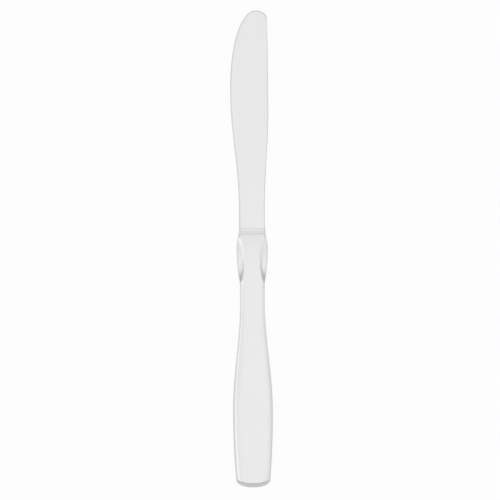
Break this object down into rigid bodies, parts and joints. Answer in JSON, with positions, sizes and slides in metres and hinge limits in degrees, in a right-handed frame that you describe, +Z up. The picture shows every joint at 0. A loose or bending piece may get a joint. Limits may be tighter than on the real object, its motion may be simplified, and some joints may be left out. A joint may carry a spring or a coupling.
{
  "type": "table knife",
  "caption": "Polished steel table knife with a rounded blade tip, a thin collar, a scalloped bolster and a hollow handle that swells toward its butt, for cutting food at the table.",
  "frame": {"origin": "on the rest plane, under the middle of the knife's overall length, on the handle's axis", "axes": "+X across the knife toward the spine, +Y along it toward the tip, +Z up through its thickness away from the surface it lies on"},
  "size_m": [0.018, 0.21, 0.0084],
  "materials": {
    "blade_steel": "fine satin polish along the blade",
    "collar_steel": "turned and polished",
    "handle_steel": "bright polish with fine wear marks",
    "braze": "silver braze dressed flush with the handle",
    "cement": "set resin filler"
  },
  "bodies": {
    "root": {"blade": "blade_steel", "collar": "collar_steel", "handle_front_shell": "handle_steel", "handle_back_shell": "handle_steel", "seam_braze": "braze", "tang_cement": "cement"}
  },
  "joints": []
}
